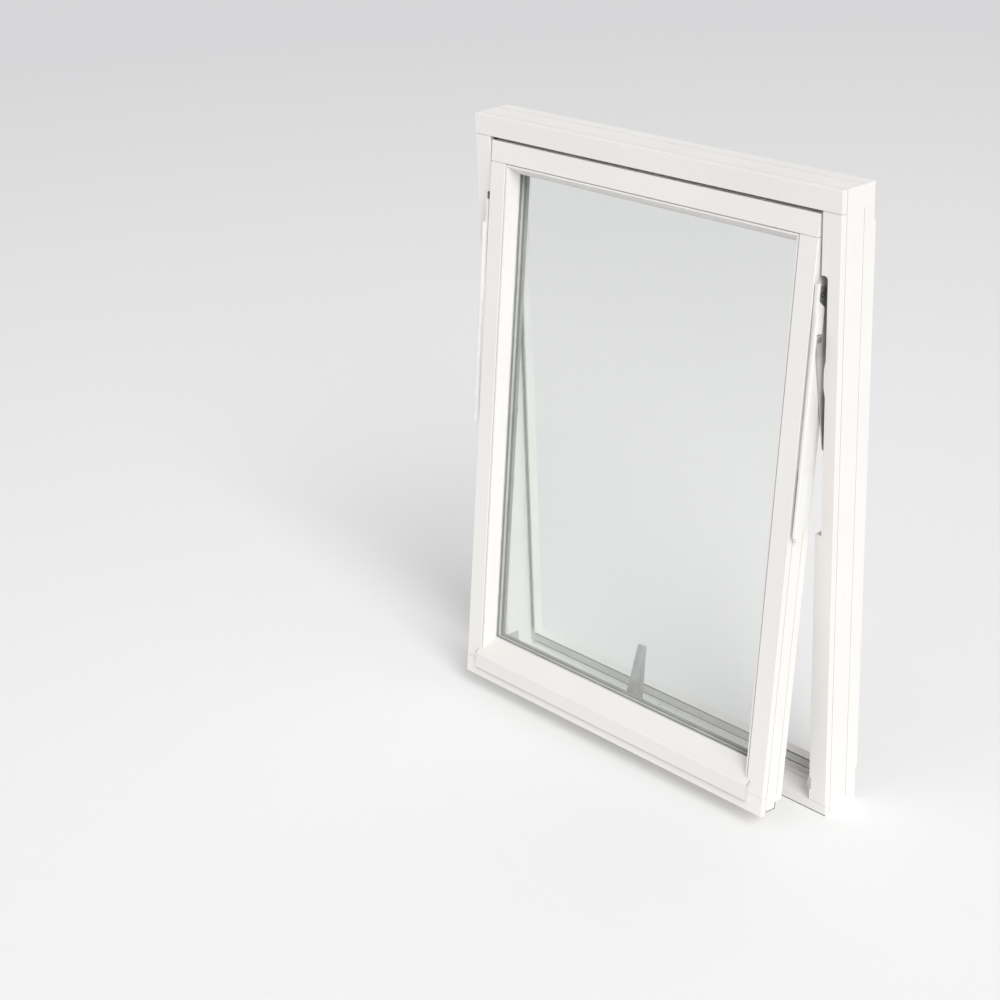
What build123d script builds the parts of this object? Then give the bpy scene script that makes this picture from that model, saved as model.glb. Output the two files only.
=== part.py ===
from build123d import *
import math
import os

os.makedirs("parts", exist_ok=True)

# Millimetres, +Z up. Outside is towards -Y, right is +X as seen from outside.
# The origin is the middle of the sill's underside, at half the frame's depth.

# Whole frame
WIDTH = 890.0
HEIGHT = 1190.0
DEPTH = 86.0
FACE = 40.0
SKIN = 2.0
FRONT = -DEPTH / 2
FIT = 0.3
RETURN_DEPTH = 12.0
SHADOW_GAP = 1.5
STOP_START = 65.0
STOP_REACH = 14.0
FINE_GROOVE_AT = 58.0
FINE_GROOVE = 1.6
REAR_PAD = 4.5
SILL_FACE = 20.0
SILL_SLOPE_END = 40.0
SILL_TREAD = 26.0
SILL_RISER_TOP = 54.0
JOINT = 1.0

# Sash, measured along itself: across, back from its outer face, up from its bottom
SIDE_GAP = 5.0
TOP_GAP = 6.1
SASH_WIDTH = WIDTH - 2 * FACE - 2 * SIDE_GAP
SASH_BOTTOM = SILL_TREAD + 5.4
SASH_TOP = HEIGHT - FACE - TOP_GAP
SASH_HEIGHT = SASH_TOP - SASH_BOTTOM
SASH_DEPTH = 55.0
SASH_FACE = 40.0
SASH_RETURN = 11.0
SASH_GROOVE_AT = 38.0
BEAD_WIDTH = 17.0
BEAD_DEPTH = 23.0
SIGHT = SASH_FACE + BEAD_WIDTH
SIGHT_BOTTOM = 88.0
BOTTOM_FACE = 36.0
NOSE_PROUD = 8.0
NOSE_LOW = 20.0
NOSE_HIGH = 52.0
NOSE_OVERLAP = 6.0
PANE = 4.0
CAVITY = 12.0
SEAL = 1.0
PANE_FRONT = BEAD_DEPTH + SEAL
PANE_REAR = PANE_FRONT + 2 * PANE + CAVITY
REAR_SEAL = 5.0
LIP_START = PANE_REAR + REAR_SEAL
SPACER_WIDTH = 8.0
SPACER_SHOWS = 3.0

# Swing gear: an arm as long as the distance from its sash pivot to the top shoe
OPEN_DEG = 6.8
SHOE_FROM_TOP = 12.0
PIVOT_BACK = 20.0
ARM = 203.5
ARM_WIDTH = 16.0
ARM_THICK = 2.5
ARM_OFFSET = 5.0
PIN_RADIUS = 4.0
POCKET_IN = 14.0
POCKET_BACK = 51.0
POCKET_FROM_TOP = 104.5
POCKET_CLEAR = 5.0
WAIST_UP = 294.0
WAIST_IN = 3.5
WAIST_HALF = 16.0
WAIST_SLOPE = 18.0
TRACK_HALF = 8.0
TRACK_WALL = 1.5
TRACK_LIP = 5.0
SHOE_HALF = 7.4
SHOE_LONG = 30.0
SHOE_THICK = 5.0
SHOE_OFFSET = 12.0
BAR_TOP = 117.0
BAR_LONG = 458.0
BAR_THICK = 3.5

# Handle on the inside of the bottom rail
LEVER_LONG = 106.0
LEVER_WIDE = 18.0
LEVER_NARROW = 13.0
LEVER_THICK = 10.0
LEVER_REACH = 32.0
NECK_LONG = 18.0
NECK_RADIUS = 8.0
NECK_DROP = 5.0
LEVER_TIP = 3.0
ROSE_RADIUS = 15.0
ROSE_THICK = 6.0
SPINDLE_UP = 66.0

SHOE_CLOSED_Z = SASH_TOP - SHOE_FROM_TOP
FRAME_PIVOT_Z = SHOE_CLOSED_Z - 2 * ARM
PIVOT_Y = FRONT + PIVOT_BACK
OPENING_HALF = WIDTH / 2 - FACE
POCKET_TOP = SASH_TOP - POCKET_FROM_TOP
POCKET_BOTTOM = SASH_TOP - BAR_TOP - BAR_LONG - POCKET_CLEAR
STEP = FRONT + RETURN_DEPTH + SHADOW_GAP
BACK = DEPTH / 2

# Small shapes: edges, slots, clearances and how far a cut runs past its piece
OVER = 9.0
ARRIS = 1.0
SILL_LIFT = 2.0
SILL_UNDER = 11.0
TREAD_DIP = 5.0
REAR_PAD_END = 68.0
REAR_PAD_IN = 6.0
HEAD_CAP = 5.0
SLOT_IN = 4.0
SLOT_DEEP = 4.0
SEAL_BAND = 6.0
SEAL_PROUD = 2.0
FOOT_SEAL_LOW = 36.0
FOOT_SEAL_HIGH = 52.0
BLOCK_OUT = 3.0
BLOCK_IN = 5.5
BLOCK_DEEP = 20.0
BLOCK_LOW = 44.0
BLOCK_TALL = 24.0
BLOCK_PROUD = 0.6
BLOCK_BEVEL = 2.5
POCKET_ROUND = 6.0
TRACK_SPARE = 22.0
FOOT_HALF = 10.0
FOOT_IN = 8.5
FOOT_RISE = 16.0
FOOT_DROP = 20.0
PIN_FIT = 0.05
PIN_SHORT = 0.4
PIN_SINK = 2.0
PIN_HEAD = 0.6
KEEPER_HALF = 28.0
KEEPER_DEEP = 13.0
KEEPER_THICK = 2.0
LOCK_HALF = 70.0
LOCK_DROP = 3.0
LOCK_AT = 40.0
LOCK_SHORT = 3.0
BEAD_GAP = 1.8
BEAD_GAP_DEEP = 5.5
BEAD_FLAT = 3.2
BEAD_START = 1.0
BEAD_EDGE = 1.5
NOSE_RISE = 36.0 / 31.0
NOSE_ROUND = 3.0
GLASS_CLEAR = 4.0
SEAL_WIDTH = 11.0
SEAL_SHORT = 2.0
RAIL_LIFT = 6.0
RAIL_REAR_LIFT = 20.0
PLATE_THICK = 3.0
PLATE_HALF = 10.0
PLATE_DOWN = 30.0
PLATE_UP = 11.0

# Side bar: a plate on the stile that carries a proud lip, sloping back downwards. A
# boss joins them above the arm and a block below it.
LIP_OUT = 3.0
LIP_WIDE_TOP = 10.0
LIP_WIDE_LOW = 11.5
LIP_SLOPE = 8.0
LIP_GAP_DEEP = 8.0
LIP_HEAD_BACK = 6.5
LIP_BACK = 8.5
LIP_ROUND = 1.5
BOSS_FROM_TOP = 146.5
BOSS_SLANT = 12.5
BOSS_BACK = 22.0
ARM_END_CLEAR = 3.0
BLOCK_FROM_PIN = 232.0
BAR_REAR_TOP = 30.0
BAR_REAR_MIDDLE = 41.0
BAR_REAR_LOW = 49.0
BAR_WAIST_BACK = 41.0
BAR_SWELL_FROM = 160.0
BAR_SWELL_HIGH = 64.0
BAR_SWELL_LOW = 52.0
BAR_WAIST = 36.0
BAR_FOOT_LIFT = 14.0

def slab(x0, x1, y0, y1, z0, z1):
    box = Box(x1 - x0, y1 - y0, z1 - z0)
    return Pos((x0 + x1) / 2, (y0 + y1) / 2, (z0 + z1) / 2) * box


def upright(points, z0, z1):
    # An (x, y) outline carried up from z0 to z1
    face = make_face(Polyline(*[(x, y, z0) for x, y in points], close=True))
    return extrude(face, amount=z1 - z0, dir=(0, 0, 1))


def across(points, x0, x1):
    # A (y, z) outline carried to the right from x0 to x1
    face = make_face(Polyline(*[(x0, y, z) for y, z in points], close=True))
    return extrude(face, amount=x1 - x0, dir=(1, 0, 0))


def through(points, y0, y1):
    # An (x, z) outline carried back from y0 to y1
    face = make_face(Polyline(*[(x, y0, z) for x, z in points], close=True))
    return extrude(face, amount=y1 - y0, dir=(0, 1, 0))


def rod(radius, x0, x1, y, z):
    return Pos((x0 + x1) / 2, y, z) * Rotation(0, 90, 0) * Cylinder(radius, x1 - x0)


def other_side(shape):
    return mirror(shape, about=Plane.YZ)


def swap(points):
    return [(b, a) for a, b in points]


def skin_outline(side, inner, start, outer_return, inner_return):
    # Folded aluminium: a front sheet with a return along each long edge.
    s = 1 if inner > side else -1
    return [
        (side, start + outer_return),
        (side, start + ARRIS),
        (side + s * ARRIS, start),
        (inner - s * ARRIS, start),
        (inner, start + ARRIS),
        (inner, start + inner_return),
        (inner - s * SKIN, start + inner_return),
        (inner - s * SKIN, start + SKIN),
        (side + s * SKIN, start + SKIN),
        (side + s * SKIN, start + outer_return),
    ]


def timber_outline(side, inner, groove_at):
    # Frame timber without its stop: a front step inside the skin, then full width.
    s = 1 if inner > side else -1
    groove = FRONT + groove_at
    return [
        (side + s * SKIN, FRONT + SKIN),
        (inner - s * SKIN, FRONT + SKIN),
        (inner - s * SKIN, STEP),
        (inner, STEP),
        (inner, BACK),
        (side, BACK),
        (side, groove + FINE_GROOVE),
        (side + s * FINE_GROOVE, groove + FINE_GROOVE),
        (side + s * FINE_GROOVE, groove),
        (side, groove),
        (side, STEP),
        (side + s * SKIN, STEP),
    ]


nodes = {}
half = WIDTH / 2
stop = FRONT + STOP_START
stop_in = OPENING_HALF - STOP_REACH
jamb_top = HEIGHT - FACE

# The pocket for the swing gear, open to the front, and the groove above it.
pocket = slab(OPENING_HALF - OVER, OPENING_HALF + POCKET_IN, FRONT - OVER, FRONT + POCKET_BACK,
              POCKET_BOTTOM, POCKET_TOP)
pocket_edges = pocket.edges().filter_by(Axis.Y).group_by(Axis.X)[-1]
pocket = fillet(pocket_edges.sort_by(Axis.Z)[-1], POCKET_ROUND)
waist_z = POCKET_BOTTOM + WAIST_UP
pocket_side = OPENING_HALF + POCKET_IN
pocket -= through([
    (pocket_side, waist_z - WAIST_HALF - WAIST_SLOPE),
    (pocket_side - WAIST_IN, waist_z - WAIST_HALF),
    (pocket_side - WAIST_IN, waist_z + WAIST_HALF),
    (pocket_side, waist_z + WAIST_HALF + WAIST_SLOPE),
], FRONT - OVER, FRONT + POCKET_BACK)
track_out = TRACK_HALF + TRACK_WALL
groove = slab(OPENING_HALF - OVER, OPENING_HALF + POCKET_IN, PIVOT_Y - track_out,
              PIVOT_Y + track_out, POCKET_TOP - OVER, jamb_top)
block_seat = slab(OPENING_HALF - OVER, OPENING_HALF + BLOCK_IN, FRONT - OVER,
                  FRONT + BLOCK_DEEP, BLOCK_LOW, BLOCK_LOW + BLOCK_TALL)

# Jambs: timber with a rear stop, a raised rear pad and the gear's pocket.
jamb = upright(timber_outline(half, OPENING_HALF, FINE_GROOVE_AT), SILL_FACE, jamb_top)
jamb += slab(stop_in, OPENING_HALF, stop, BACK, SILL_FACE, jamb_top)
jamb += slab(stop_in + REAR_PAD_IN, half, BACK, BACK + REAR_PAD, REAR_PAD_END,
             HEIGHT - REAR_PAD_END)
slot_in = stop_in + SLOT_IN
slot_out = slot_in + SEAL_BAND
slot_high = jamb_top - STOP_REACH + SLOT_IN
slot_back = stop + SLOT_DEEP
jamb -= slab(slot_in, slot_out, stop - 1, slot_back, SILL_FACE, jamb_top)
jamb -= slab(stop_in, slot_out, stop - 1, slot_back, FOOT_SEAL_LOW, FOOT_SEAL_HIGH)
jamb -= slab(stop_in, slot_out, stop - 1, slot_back, slot_high, slot_high + SEAL_BAND)
jamb = jamb - pocket - groove - block_seat
nodes["jamb_right"] = jamb
nodes["jamb_left"] = other_side(jamb)

# Head and sill run the full width and the jambs stand between them.
head_side = HEIGHT
head_rim = HEIGHT - FACE
head = across(swap(timber_outline(head_side, head_rim, FINE_GROOVE_AT)), -half, half)
head += slab(-stop_in, stop_in, stop, BACK, head_rim - STOP_REACH, head_rim)
head -= slab(-stop_in, stop_in, stop - 1, slot_back, slot_high, slot_high + SEAL_BAND)
head_end = slab(half - SKIN, half, FRONT, STEP, head_rim, HEIGHT)
nodes["head"] = head - head_end - other_side(head_end)

sill = slab(-half, half, STEP, BACK, 0, SILL_FACE)
sill += slab(-half + SKIN, half - SKIN, FRONT + SKIN, STEP, SILL_LIFT, SILL_FACE)
tread = [
    (FRONT + SKIN, SILL_FACE - SKIN),
    (FRONT + SILL_SLOPE_END, SILL_TREAD - SKIN),
    (FRONT + SILL_SLOPE_END, SILL_TREAD - SKIN / 2),
    (stop, SILL_TREAD),
    (stop, SILL_UNDER),
    (FRONT + SKIN, SILL_UNDER),
]
sill = sill - slab(-OPENING_HALF, OPENING_HALF, FRONT - OVER, BACK + OVER,
                   SILL_FACE - TREAD_DIP, SILL_FACE)
sill += across(tread, -OPENING_HALF, OPENING_HALF)
riser = slab(-stop_in, stop_in, stop, BACK, SILL_UNDER, SILL_RISER_TOP)
riser -= slab(-stop_in, stop_in, stop - 1, slot_back, FOOT_SEAL_LOW, FOOT_SEAL_HIGH)
sill += riser
sill -= slab(-half, half, FRONT + FINE_GROOVE_AT, FRONT + FINE_GROOVE_AT + FINE_GROOVE,
             -1, FINE_GROOVE)
nodes["sill"] = sill

# Outside skins of the frame
jamb_skin = upright(
    skin_outline(half, OPENING_HALF, FRONT, RETURN_DEPTH, RETURN_DEPTH + SHADOW_GAP),
    SILL_FACE + JOINT, jamb_top - JOINT)
jamb_skin = jamb_skin - pocket - groove - block_seat
nodes["jamb_skin_right"] = jamb_skin
nodes["jamb_skin_left"] = other_side(jamb_skin)
head_skin = across(
    swap(skin_outline(head_side, head_rim, FRONT, RETURN_DEPTH, RETURN_DEPTH + SHADOW_GAP)),
    -half + SKIN, half - SKIN)
end_cap = through([(half - SKIN, head_rim), (half, head_rim), (half, HEIGHT - ARRIS),
                   (half - ARRIS, HEIGHT), (half - SKIN, HEIGHT)],
                  FRONT + ARRIS, FRONT + RETURN_DEPTH)
head_skin += end_cap + other_side(end_cap)
head_skin += slab(-half + ARRIS, half - ARRIS, FRONT, FRONT + SKIN, head_rim + ARRIS,
                  HEIGHT - ARRIS)
nodes["head_skin"] = head_skin
sill_skin = slab(-half + ARRIS, half - ARRIS, FRONT, FRONT + SKIN, 0, SILL_FACE)
sill_end = slab(half - SKIN, half, FRONT + ARRIS, FRONT + RETURN_DEPTH, 0, SILL_FACE)
sill_skin += sill_end + other_side(sill_end)
sill_cover = across([
    (FRONT, SILL_FACE - SKIN),
    (FRONT, SILL_FACE),
    (FRONT + SILL_SLOPE_END, SILL_TREAD),
    (FRONT + SILL_SLOPE_END, SILL_TREAD - SKIN),
    (FRONT + SKIN, SILL_FACE - SKIN),
], -OPENING_HALF, OPENING_HALF)
nodes["sill_skin"] = sill_skin + sill_cover

# One seal runs round the stop's face in its slot, wider at the sill.
seal = slab(-slot_out, slot_out, stop - SEAL_PROUD, slot_back, FOOT_SEAL_LOW,
            slot_high + SEAL_BAND)
seal -= slab(-slot_in, slot_in, stop - OVER, stop + OVER, FOOT_SEAL_HIGH, slot_high)
nodes["frame_seal"] = seal

# Swing gear on the frame: a track for the top shoe and a foot with the arm's pin.
reach = OPENING_HALF + POCKET_IN
track_low = SHOE_CLOSED_Z - ARM - TRACK_SPARE
track = slab(reach - TRACK_WALL, reach, PIVOT_Y - track_out, PIVOT_Y + track_out,
             track_low, jamb_top)
for y in (PIVOT_Y - track_out, PIVOT_Y + TRACK_HALF):
    track += slab(reach - TRACK_LIP, reach, y, y + TRACK_WALL, track_low, jamb_top)
nodes["track_right"] = track
nodes["track_left"] = other_side(track)
foot = slab(OPENING_HALF + FOOT_IN, reach, PIVOT_Y - FOOT_HALF, PIVOT_Y + FOOT_HALF,
            FRAME_PIVOT_Z - FOOT_DROP, FRAME_PIVOT_Z + FOOT_RISE)
foot += rod(PIN_RADIUS, SASH_WIDTH / 2 + ARM_OFFSET + PIN_SHORT, reach - PIN_SINK,
            PIVOT_Y, FRAME_PIVOT_Z)
nodes["arm_foot_right"] = foot
nodes["arm_foot_left"] = other_side(foot)

# Guide blocks at the bottom of the jambs keep the closing sash in the middle.
guide = slab(OPENING_HALF - BLOCK_OUT, OPENING_HALF + BLOCK_IN, FRONT - BLOCK_PROUD,
             FRONT + BLOCK_DEEP, BLOCK_LOW, BLOCK_LOW + BLOCK_TALL)
guide = chamfer(guide.edges().filter_by(Axis.Y).group_by(Axis.X)[0], BLOCK_BEVEL)
nodes["guide_right"] = guide
nodes["guide_left"] = other_side(guide)

nodes["keeper"] = slab(-KEEPER_HALF, KEEPER_HALF, stop - KEEPER_DEEP, stop - SEAL_PROUD,
                       SILL_TREAD, SILL_TREAD + KEEPER_THICK)

# Sash members are drawn closed. Across is x, back is y and up is z.
SX = SASH_WIDTH / 2
low = SASH_BOTTOM
top = SASH_TOP


def sash_timber(side, inner):
    s = 1 if inner > side else -1
    at = FRONT
    return [
        (side + s * SKIN, at + SKIN),
        (inner - s * SKIN, at + SKIN),
        (inner - s * SKIN, at + SASH_RETURN),
        (inner, at + SASH_RETURN),
        (inner, at + SASH_DEPTH),
        (side, at + SASH_DEPTH),
        (side, at + SASH_GROOVE_AT + FINE_GROOVE),
        (side + s * FINE_GROOVE, at + SASH_GROOVE_AT + FINE_GROOVE),
        (side + s * FINE_GROOVE, at + SASH_GROOVE_AT),
        (side, at + SASH_GROOVE_AT),
        (side, at + SASH_RETURN + SHADOW_GAP),
        (side + s * SKIN, at + SASH_RETURN + SHADOW_GAP),
    ]


stile_low = low + BOTTOM_FACE
stile_top = top - SASH_FACE
inner_x = SX - SASH_FACE
lip_x = SX - SIGHT
glass_low = low + SIGHT_BOTTOM
# Rails run full width; a stile's inner lip stops between the rails' lips.
lip_y0 = FRONT + LIP_START
lip_y1 = FRONT + SASH_DEPTH
stile = upright(sash_timber(SX, inner_x), stile_low, stile_top)
stile += slab(lip_x, inner_x, lip_y0, lip_y1, glass_low, top - SIGHT)
nodes["stile_right"] = stile
nodes["stile_left"] = other_side(stile)
top_rail = across(swap(sash_timber(top, stile_top)), -SX, SX)
top_rail += slab(-inner_x, inner_x, lip_y0, lip_y1, top - SIGHT, stile_top)
rail_end = slab(SX - SKIN, SX, FRONT, FRONT + SASH_RETURN + SHADOW_GAP, stile_top, top)
nodes["top_rail"] = top_rail - rail_end - other_side(rail_end)
rail_seat = glass_low - BEAD_WIDTH
rail = across([
    (FRONT + SKIN, low + SKIN),
    (FRONT + SKIN, stile_low - SKIN),
    (FRONT + SASH_RETURN, stile_low - SKIN),
    (FRONT + SASH_RETURN, stile_low),
    (FRONT + SASH_DEPTH, stile_low),
    (FRONT + SASH_DEPTH, low + RAIL_REAR_LIFT),
    (FRONT + SASH_GROOVE_AT, low + RAIL_REAR_LIFT),
    (FRONT + SASH_GROOVE_AT, low + RAIL_LIFT),
    (FRONT + SASH_RETURN + SHADOW_GAP, low + RAIL_LIFT),
    (FRONT + SASH_RETURN + SHADOW_GAP, low + SKIN),
], -SX, SX)
rail += slab(-inner_x, inner_x, FRONT + SASH_RETURN, FRONT + SASH_DEPTH, stile_low,
             rail_seat)
rail += slab(-inner_x, inner_x, FRONT + LIP_START, FRONT + SASH_DEPTH, rail_seat,
             glass_low)
rail_end = slab(SX - SKIN, SX, FRONT, FRONT + SASH_RETURN + SHADOW_GAP, low, stile_low)
nodes["bottom_rail"] = rail - rail_end - other_side(rail_end)

# Outside skins of the sash
stile_skin = upright(skin_outline(SX, inner_x, FRONT, SASH_RETURN, SASH_RETURN),
                     stile_low + JOINT, stile_top - JOINT)
nodes["stile_skin_right"] = stile_skin
nodes["stile_skin_left"] = other_side(stile_skin)


def rail_skin(z_out, z_in):
    skin = across(swap(skin_outline(z_out, z_in, FRONT, SASH_RETURN, SASH_RETURN)),
                  SKIN - SX, SX - SKIN)
    a, b = min(z_out, z_in), max(z_out, z_in)
    end = slab(SX - SKIN, SX, FRONT + ARRIS, FRONT + SASH_RETURN, a, b)
    skin += end + other_side(end)
    return skin + slab(ARRIS - SX, SX - ARRIS, FRONT, FRONT + SKIN, a + ARRIS, b - ARRIS)


top_skin = rail_skin(top, stile_top)
nodes["top_rail_skin"] = top_skin
nodes["bottom_rail_skin"] = rail_skin(low, stile_low)

# Glazing beads: the sides and top slope in to the glass and meet at mitres. The
# bottom one is the weathering, with a rounded nose that stands out over the rail.
bead_back = FRONT + BEAD_DEPTH
bead_nose = bead_back - BEAD_EDGE


def bead_outline(rim, sight):
    # A thin gap to the skin, a flat edge, then the slope in to the glass
    s = 1 if rim > sight else -1
    return [
        (rim, FRONT + BEAD_GAP_DEEP),
        (rim - s * BEAD_GAP, FRONT + BEAD_GAP_DEEP),
        (rim - s * BEAD_GAP, FRONT + BEAD_START),
        (rim - s * (BEAD_GAP + BEAD_FLAT), FRONT + BEAD_START),
        (sight, bead_nose),
        (sight, bead_back),
        (rim, bead_back),
    ]


side_bead = upright(bead_outline(inner_x, lip_x), stile_low, stile_top)
corner = (inner_x + OVER, stile_top + OVER)
far = 2 * SASH_FACE
side_bead -= through([corner, (corner[0] - far, corner[1] - far),
                      (corner[0] - far, corner[1])], FRONT - OVER, bead_back + OVER)
weather_slope = [
    (FRONT - NOSE_PROUD, low + NOSE_HIGH),
    (bead_back, glass_low),
    (bead_back + OVER, glass_low),
    (bead_back + OVER, low),
    (FRONT - NOSE_PROUD, low),
]
side_bead -= across(weather_slope, -SX, SX)
nodes["bead_right"] = side_bead
nodes["bead_left"] = other_side(side_bead)
top_bead = across(swap(bead_outline(stile_top, top - SIGHT)), -inner_x, inner_x)
mitre_cut = through([corner, (corner[0] - far, corner[1] - far),
                     (corner[0], corner[1] - far)], FRONT - OVER, bead_back + OVER)
top_bead = top_bead - mitre_cut - other_side(mitre_cut)
nodes["bead_top"] = top_bead
weather = across([
    (FRONT, low + NOSE_HIGH - OVER),
    (FRONT, low + NOSE_HIGH + NOSE_PROUD * NOSE_RISE),
    (bead_back, glass_low),
    (bead_back, rail_seat),
    (FRONT + SASH_RETURN, rail_seat),
    (FRONT + SASH_RETURN, stile_low),
    (FRONT, stile_low),
], -inner_x, inner_x)
nose_half = inner_x + NOSE_OVERLAP
nose = across([
    (FRONT, low + NOSE_LOW),
    (FRONT - NOSE_PROUD, low + NOSE_LOW),
    (FRONT - NOSE_PROUD, low + NOSE_HIGH),
    (FRONT, low + NOSE_HIGH + NOSE_PROUD * NOSE_RISE),
], -nose_half, nose_half)
nose = fillet(nose.edges().filter_by(Axis.X).group_by(Axis.Y)[0], NOSE_ROUND)
nodes["weather_bead"] = weather + nose

# Sealed glass unit with its spacer and seals
def ring(inset, band, y0, y1, sink):
    # Inset is from the sash's sides and top; the bottom sits sink higher.
    outer = slab(inset - SX, SX - inset, y0, y1, low + inset + sink, top - inset)
    hole = slab(inset + band - SX, SX - inset - band, y0 - 1, y1 + 1,
                low + inset + band + sink, top - inset - band)
    return outer - hole


sink = SIGHT_BOTTOM - SIGHT
edge = SASH_FACE + GLASS_CLEAR


def pane(y0):
    return slab(edge - SX, SX - edge, y0, y0 + PANE, low + edge + sink, top - edge)


pane_front = FRONT + PANE_FRONT
nodes["pane_outer"] = pane(pane_front)
nodes["pane_inner"] = pane(pane_front + PANE + CAVITY)
spacer_in = SIGHT + SPACER_SHOWS - SPACER_WIDTH
nodes["spacer"] = ring(spacer_in, SPACER_WIDTH, pane_front + PANE,
                       pane_front + PANE + CAVITY, sink)
nodes["seal_outer"] = ring(SIGHT + SEAL_SHORT - SEAL_WIDTH, SEAL_WIDTH, bead_back,
                           pane_front, sink)
nodes["seal_inner"] = ring(SIGHT - SEAL_WIDTH, SEAL_WIDTH, FRONT + PANE_REAR,
                           FRONT + LIP_START, sink)

# Swing gear on the sash: side bars with the arm's pin and top plates with the shoe's
bar_high = top - BAR_TOP
bar_low = bar_high - BAR_LONG
pin_z = SHOE_CLOSED_Z - ARM
boss_high = top - BOSS_FROM_TOP
boss_low = pin_z + ARM_WIDTH / 2 + ARM_END_CLEAR
block_high = pin_z - BLOCK_FROM_PIN
foot_high = bar_low + BAR_FOOT_LIFT


def lip_front(z):
    return FRONT + (bar_high - z) * LIP_SLOPE / BAR_LONG


bar = across([
    (lip_front(boss_high) + LIP_GAP_DEEP, boss_high),
    (FRONT + BAR_REAR_TOP, boss_high),
    (FRONT + BAR_REAR_MIDDLE, boss_low),
    (FRONT + BAR_REAR_MIDDLE, foot_high + BAR_SWELL_FROM),
    (FRONT + BAR_REAR_LOW, foot_high + BAR_SWELL_HIGH),
    (FRONT + BAR_REAR_LOW, foot_high + BAR_SWELL_LOW),
    (FRONT + BAR_WAIST_BACK, foot_high + BAR_WAIST),
    (FRONT + BAR_WAIST_BACK, foot_high),
    (lip_front(foot_high) + LIP_GAP_DEEP, foot_high),
], SX, SX + BAR_THICK)
lip = across([
    (FRONT, bar_high),
    (FRONT + LIP_HEAD_BACK, bar_high),
    (FRONT + LIP_HEAD_BACK, boss_high),
    (FRONT + BOSS_BACK, boss_high - BOSS_SLANT),
    (FRONT + BOSS_BACK, boss_low),
    (FRONT + LIP_BACK, boss_low),
    (FRONT + LIP_BACK, block_high),
    (FRONT + BOSS_BACK, block_high - LIP_BACK),
    (FRONT + BOSS_BACK, bar_low + BAR_FOOT_LIFT / 2),
    (FRONT + BOSS_BACK - ARM_END_CLEAR, bar_low + SKIN),
    (lip_front(bar_low), bar_low),
], SX + LIP_OUT, SX + LIP_WIDE_LOW)
lip -= through([
    (SX + LIP_WIDE_LOW, bar_low),
    (SX + LIP_WIDE_LOW + OVER, bar_low),
    (SX + LIP_WIDE_LOW + OVER, bar_high),
    (SX + LIP_WIDE_TOP, bar_high),
], FRONT - OVER, FRONT + BOSS_BACK + OVER)
long_edges = lip.edges().filter_by(lambda edge: edge.length > BAR_LONG - SKIN)
lip = fillet(long_edges.sort_by(Axis.X)[-1], LIP_ROUND)
bar = bar + lip
bar += rod(PIN_RADIUS, SX, SX + ARM_OFFSET + ARM_THICK + PIN_HEAD, PIVOT_Y, pin_z)
nodes["bar_right"] = bar
nodes["bar_left"] = other_side(bar)
plate = slab(SX, SX + PLATE_THICK, PIVOT_Y - PLATE_HALF, PIVOT_Y + PLATE_HALF,
             SHOE_CLOSED_Z - PLATE_DOWN, SHOE_CLOSED_Z + PLATE_UP)
plate += rod(PIN_RADIUS, SX, SX + SHOE_OFFSET + SHOE_THICK, PIVOT_Y, SHOE_CLOSED_Z)
nodes["top_plate_right"] = plate
nodes["top_plate_left"] = other_side(plate)

# Handle: rose and lever on the inside of the bottom rail
spindle_z = low + SPINDLE_UP
inside = FRONT + SASH_DEPTH
rose = Pos(0, inside + ROSE_THICK / 2, spindle_z) * Rotation(90, 0, 0) * Cylinder(
    ROSE_RADIUS, ROSE_THICK)
nodes["rose"] = rose
lever_y = inside + ROSE_THICK + NECK_LONG / 2
lever_back = lever_y + LEVER_REACH
lever_high = spindle_z + LEVER_LONG
lever = Pos(0, lever_y, spindle_z) * Rotation(90, 0, 0) * Cylinder(
    NECK_RADIUS, NECK_LONG - 2 * FIT)
grip = across([
    (lever_y, spindle_z - NECK_RADIUS - NECK_DROP),
    (lever_y + LEVER_REACH / 2, spindle_z - NECK_RADIUS - NECK_DROP - ARRIS),
    (lever_back - SKIN, spindle_z - NECK_RADIUS / 2),
    (lever_back, lever_high),
    (lever_back - LEVER_THICK, lever_high + LEVER_TIP),
    (lever_y, spindle_z + NECK_RADIUS + NECK_DROP),
], -LEVER_WIDE / 2, LEVER_WIDE / 2)
taper = through([
    (LEVER_WIDE / 2, spindle_z - NECK_RADIUS),
    (LEVER_NARROW / 2, lever_high + OVER),
    (LEVER_WIDE, lever_high + OVER),
], inside, lever_back + OVER)
lever = lever + grip - taper - other_side(taper)
nodes["lever"] = lever
nodes["lock_case"] = slab(-LOCK_HALF, LOCK_HALF, FRONT + LOCK_AT, inside - LOCK_SHORT,
                          low + RAIL_REAR_LIFT - LOCK_DROP, low + RAIL_REAR_LIFT)


# Everything on the sash turns out by the resting angle while the shoes slide down.
swing = math.radians(OPEN_DEG)
drop = 2 * ARM * (1 - math.cos(swing))
turn_about = Axis((0, PIVOT_Y, SHOE_CLOSED_Z), (1, 0, 0))


def opened(shape):
    return Pos(0, 0, -drop) * shape.rotate(turn_about, -OPEN_DEG)


sash_nodes = [
    "stile_right", "stile_left", "top_rail", "bottom_rail",
    "stile_skin_right", "stile_skin_left", "top_rail_skin", "bottom_rail_skin",
    "bead_right", "bead_left", "bead_top", "weather_bead",
    "pane_outer", "pane_inner", "spacer", "seal_outer", "seal_inner",
    "bar_right", "bar_left", "top_plate_right", "top_plate_left",
    "rose", "lever", "lock_case",
]
for name in sash_nodes:
    nodes[name] = opened(nodes[name])

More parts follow.
